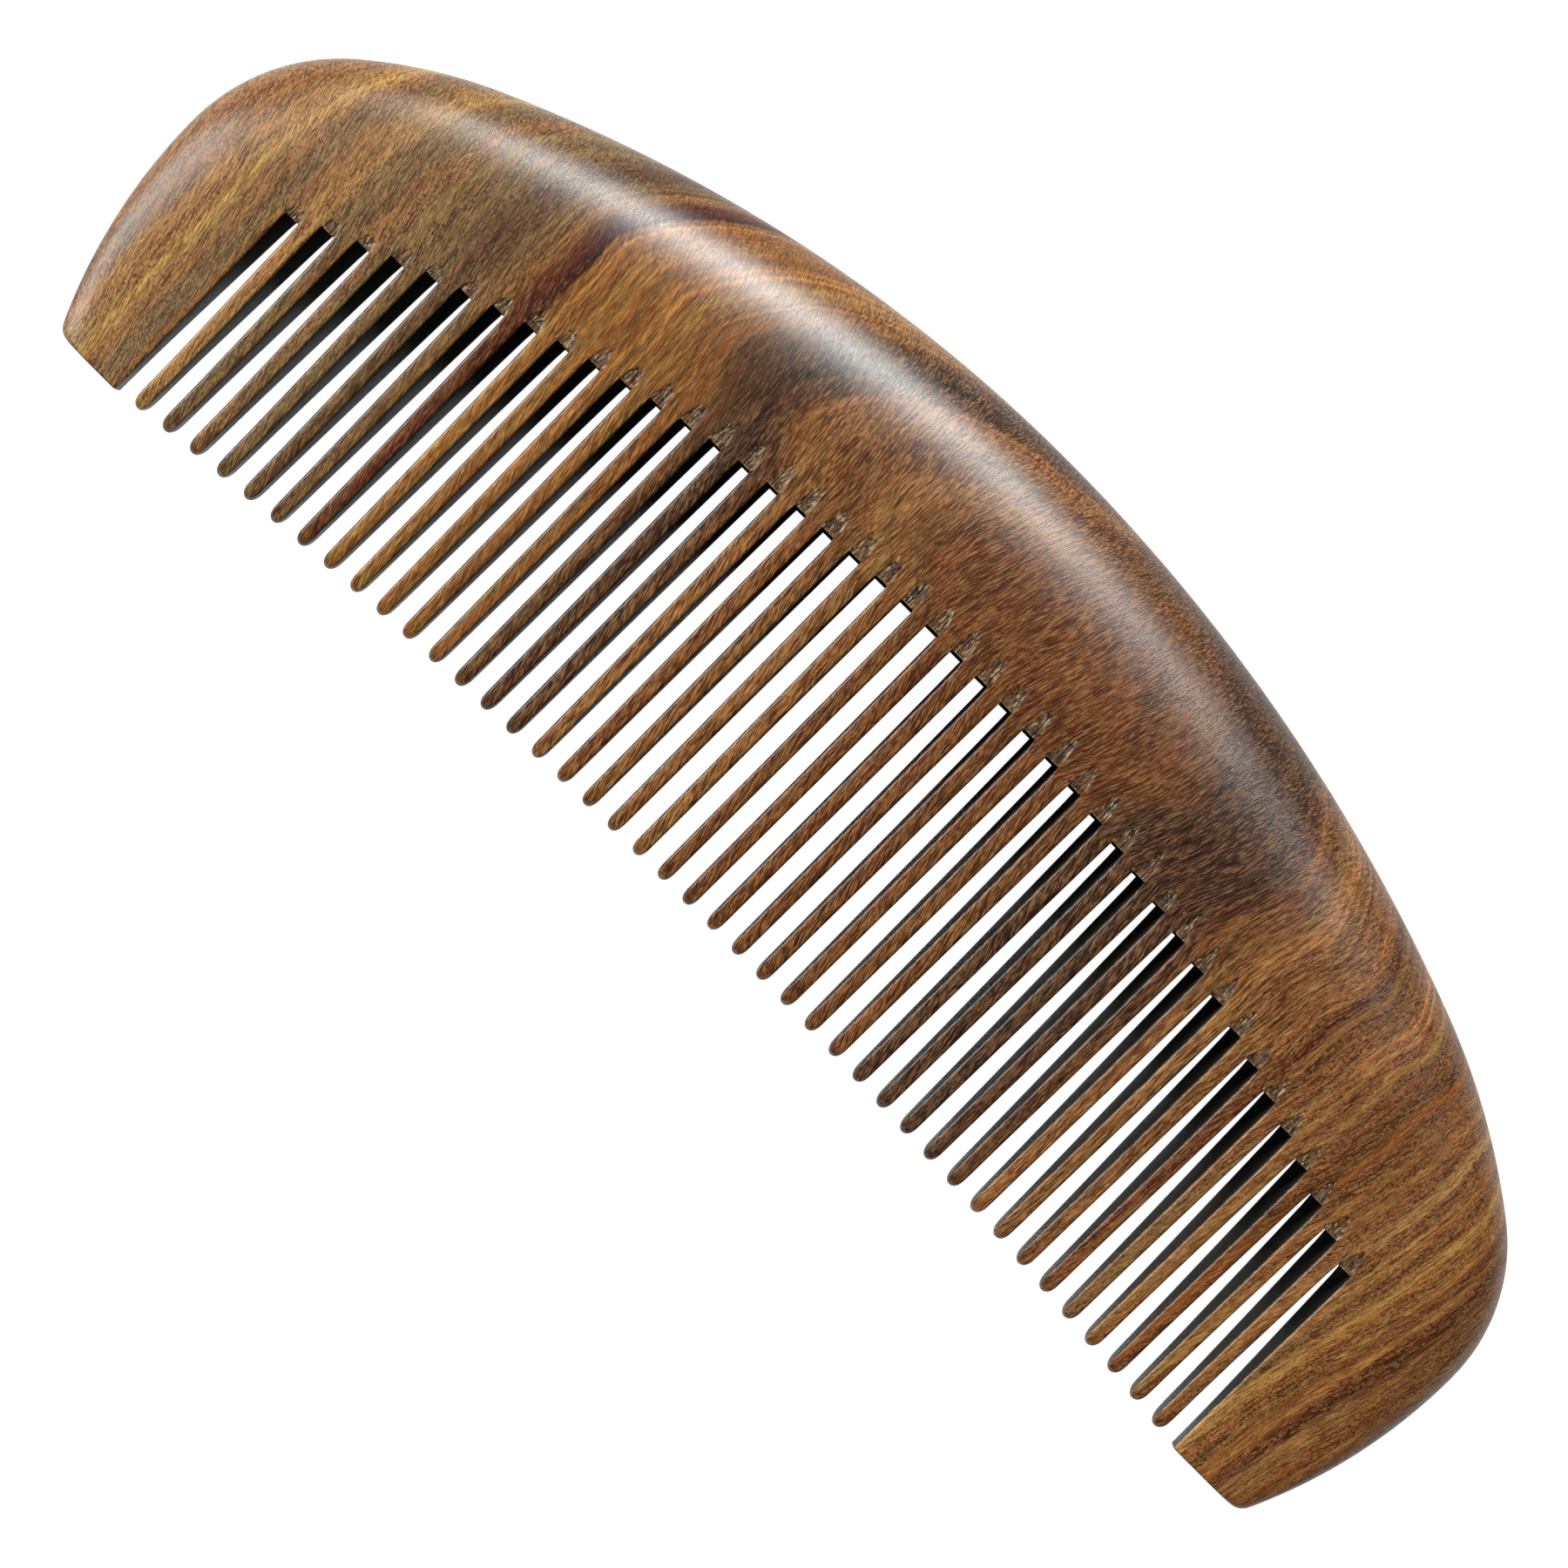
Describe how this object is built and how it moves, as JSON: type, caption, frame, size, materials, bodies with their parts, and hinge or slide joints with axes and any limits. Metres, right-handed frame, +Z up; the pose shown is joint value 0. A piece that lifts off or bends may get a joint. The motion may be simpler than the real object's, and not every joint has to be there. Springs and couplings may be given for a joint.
{
  "type": "wide tooth comb",
  "caption": "Half-moon wooden hair comb with wide-set tapered teeth between two flat-ended guards, under a thick arched back held in the palm.",
  "frame": {"origin": "under the middle of the comb's length and width, level with its lowest point", "axes": "+X along the comb's length, +Y from the tooth tips towards the arched back, +Z up through the thickness"},
  "size_m": [0.17, 0.0596, 0.0122],
  "materials": {
    "figured_wood": "oiled and buffed figured hardwood, satin, with brown, gold and dark streaks along the teeth"
  },
  "bodies": {
    "root": {"back": "figured_wood", "end_guard_left": "figured_wood", "end_guard_right": "figured_wood", "tooth_01": "figured_wood", "tooth_02": "figured_wood", "tooth_03": "figured_wood", "tooth_04": "figured_wood", "tooth_05": "figured_wood", "tooth_06": "figured_wood", "tooth_07": "figured_wood", "tooth_08": "figured_wood", "tooth_09": "figured_wood", "tooth_10": "figured_wood", "tooth_11": "figured_wood", "tooth_12": "figured_wood", "tooth_13": "figured_wood", "tooth_14": "figured_wood", "tooth_15": "figured_wood", "tooth_16": "figured_wood", "tooth_17": "figured_wood", "tooth_18": "figured_wood", "tooth_19": "figured_wood", "tooth_20": "figured_wood", "tooth_21": "figured_wood", "tooth_22": "figured_wood", "tooth_23": "figured_wood", "tooth_24": "figured_wood", "tooth_25": "figured_wood", "tooth_26": "figured_wood", "tooth_27": "figured_wood", "tooth_28": "figured_wood", "tooth_29": "figured_wood", "tooth_30": "figured_wood", "tooth_31": "figured_wood", "tooth_32": "figured_wood", "tooth_33": "figured_wood", "tooth_34": "figured_wood", "tooth_35": "figured_wood", "tooth_36": "figured_wood", "tooth_37": "figured_wood", "tooth_38": "figured_wood", "tooth_39": "figured_wood", "tooth_40": "figured_wood", "tooth_41": "figured_wood", "tooth_42": "figured_wood"}
  },
  "joints": []
}
